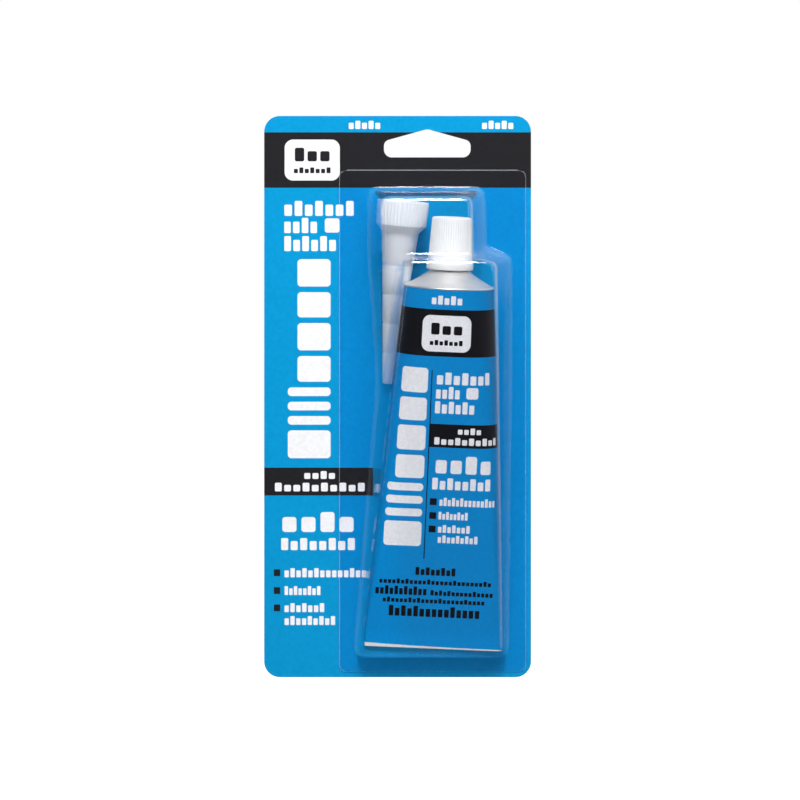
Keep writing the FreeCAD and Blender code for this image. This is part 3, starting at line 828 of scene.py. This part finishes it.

# Steep walls. The lowest one is dark to lamp light only, not to the view, so it casts a painted
# shadow on the card below the bay, densest near its foot
level = add(tree, "ShaderNodeSeparateXYZ", {0: coordinates.outputs["Normal"]}).outputs["Y"]
steep = ramp(tree, maths(tree, "ABSOLUTE", level), 0.6, 0.92, 1.0, 0.0)
lowest_wall_shadow = maths(tree, "MULTIPLY", steep, ramp(tree, at["Z"], -198.5, -196.5, 1.0, 0.0))
lowest_wall_shadow = maths(tree, "MULTIPLY", lowest_wall_shadow, ramp(tree, at["Y"], -9.5, -2.5, 0.45, 0.97))
shadow = tree.nodes.new("ShaderNodeLightPath").outputs["Is Shadow Ray"]
gloss = maths(tree, "MAXIMUM", gloss, maths(tree, "MULTIPLY", lowest_wall_shadow, shadow))
clear = add(tree, "ShaderNodeBsdfTransparent", {"Color": (0.985, 0.99, 1, 1)})
shine = add(
    tree, "ShaderNodeBsdfGlossy",
    {"Color": (0.93, 0.95, 1, 1), "Roughness": 0.04, "Normal": bump.outputs[0]},
)
sheet = add(tree, "ShaderNodeMixShader", {0: gloss, 1: clear.outputs[0], 2: shine.outputs[0]})

# Frost on the cut edge, and painted light: a faint pale painted sheen on the walls at the upper
# right, and a thin pale painted highlight along the line where the walls leave the flange
frost_and_sheen = maths(tree, "MULTIPLY", maths(tree, "SUBTRACT", 1.0, uncut), 0.2)
# Painted sheen: a faint pale haze on the steep walls at the upper right
weighted = maths(tree, "MULTIPLY", ramp(tree, at["X"], 8, 14), ramp(tree, at["Z"], -70, -55))
weighted = maths(tree, "MULTIPLY", maths(tree, "MULTIPLY", weighted, steep), 0.055)
frost_and_sheen = maths(tree, "MAXIMUM", frost_and_sheen, weighted)
# Painted highlight: a thin pale line where the walls leave the flange
foot_line = maths(tree, "ABSOLUTE", maths(tree, "ADD", at["Y"], 1.5))
frost_and_sheen = maths(tree, "MAXIMUM", frost_and_sheen, ramp(tree, foot_line, 0.1, 0.3, 0.045, 0.0))
frost_and_sheen_shader = add(tree, "ShaderNodeBsdfDiffuse", {"Color": (0.86, 0.9, 0.95, 1)})
sheet = add(tree, "ShaderNodeMixShader", {0: frost_and_sheen, 1: sheet.outputs[0], 2: frost_and_sheen_shader.outputs[0]})
tree.links.new(sheet.outputs[0], tree.nodes["Material Output"].inputs["Surface"])
dress(film, clear_sheet)
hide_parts("blister")
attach(film, "pack")


# Studio: the pack hangs over a pale floor, before a white background. The main light is soft and
# comes from above the camera, with weak boxes at both sides and one behind. The camera stands
# level in front, a metre from the card.

FLOOR_DROP = 0.33
AMBIENT = 0.22
bpy.ops.mesh.primitive_plane_add(size=14, location=(0, 0, -FLOOR_DROP))
floor = bpy.context.object
floor.name = "floor"
pale_floor, tree, shader = new_material("pale floor")
shader.inputs["Base Color"].default_value = (0.55, 0.55, 0.55, 1)
shader.inputs["Roughness"].default_value = 0.9
# Seen directly, mirrored or through glass, the floor glows up to the background's white
glow = add(tree, "ShaderNodeEmission", {"Color": (1, 1, 1, 1), "Strength": 0.92})
path = tree.nodes.new("ShaderNodeLightPath").outputs
seen = maths(tree, "MAXIMUM", path["Is Camera Ray"], path["Is Glossy Ray"])
seen = maths(tree, "MAXIMUM", seen, path["Is Transmission Ray"])
lit = add(tree, "ShaderNodeAddShader", {0: shader.outputs[0], 1: glow.outputs[0]})
shown = add(tree, "ShaderNodeMixShader", {0: seen, 1: shader.outputs[0], 2: lit.outputs[0]})
tree.links.new(shown.outputs[0], tree.nodes["Material Output"].inputs["Surface"])
dress(floor, pale_floor)
floor.visible_glossy = False

world = bpy.data.worlds.new("white studio")
bpy.context.scene.world = world
world.use_nodes = True
tree = world.node_tree
path = tree.nodes.new("ShaderNodeLightPath").outputs
# The film mirrors a studio that is bright to the upper right and dim elsewhere
direction = tree.nodes.new("ShaderNodeTexCoord").outputs["Generated"]
bright_side = vectors(tree, "DOT_PRODUCT", direction, (0.8, 0.15, 0.58))
mirrored = ramp(tree, bright_side, 0.2, 0.8, 0.06, 0.95)
mirrored = maths(tree, "MULTIPLY", mirrored, path["Is Glossy Ray"])
direct = maths(tree, "MAXIMUM", path["Is Camera Ray"], path["Is Transmission Ray"])
level = maths(tree, "MAXIMUM", maths(tree, "MAXIMUM", direct, mirrored), AMBIENT)
bright = maths(tree, "MULTIPLY", level, maths(tree, "SUBTRACT", 1.0, path["Is Glossy Ray"]))
bright = maths(tree, "MAXIMUM", bright, mirrored)
background = tree.nodes["Background"]
background.inputs["Color"].default_value = (1, 1, 1, 1)
tree.links.new(bright, background.inputs["Strength"])


def softbox(name, place, target, width, height, power):
    """A rectangular lamp that faces the target. Its size is in metres, its power in watts."""
    light = bpy.data.lights.new(name, "AREA")
    light.shape = "RECTANGLE"
    light.size, light.size_y, light.energy = width, height, power
    lamp = bpy.data.objects.new(name, light)
    bpy.context.collection.objects.link(lamp)
    lamp.location = place
    lamp.rotation_euler = (Vector(target) - Vector(place)).to_track_quat("-Z", "Y").to_euler()


MIDDLE = (0, 0, -0.1)
softbox("top_box", (0.05, -0.58, 0.55), MIDDLE, 0.6, 0.2, 4.7)
softbox("ridge_light", (0.0, -0.5, 0.55), MIDDLE, 0.1, 0.2, 3.2)
softbox("right_box", (0.75, -0.9, 0.15), MIDDLE, 0.2, 0.8, 0.9)
softbox("left_box", (-0.85, -0.9, 0.0), MIDDLE, 0.3, 0.9, 1.3)
softbox("back_box", (-0.6, 0.9, 0.3), MIDDLE, 0.6, 0.6, 6.0)

camera = bpy.data.cameras.new("camera")
camera.sensor_width = 36
camera.lens = 118.2
camera.clip_start = 0.01
viewer = bpy.data.objects.new("camera", camera)
bpy.context.collection.objects.link(viewer)
viewer.location = (-0.01038, -1.0005, -0.10305)
viewer.rotation_euler = Euler((math.pi / 2, 0, 0))
bpy.context.scene.camera = viewer
bpy.context.scene.view_settings.view_transform = "Standard"
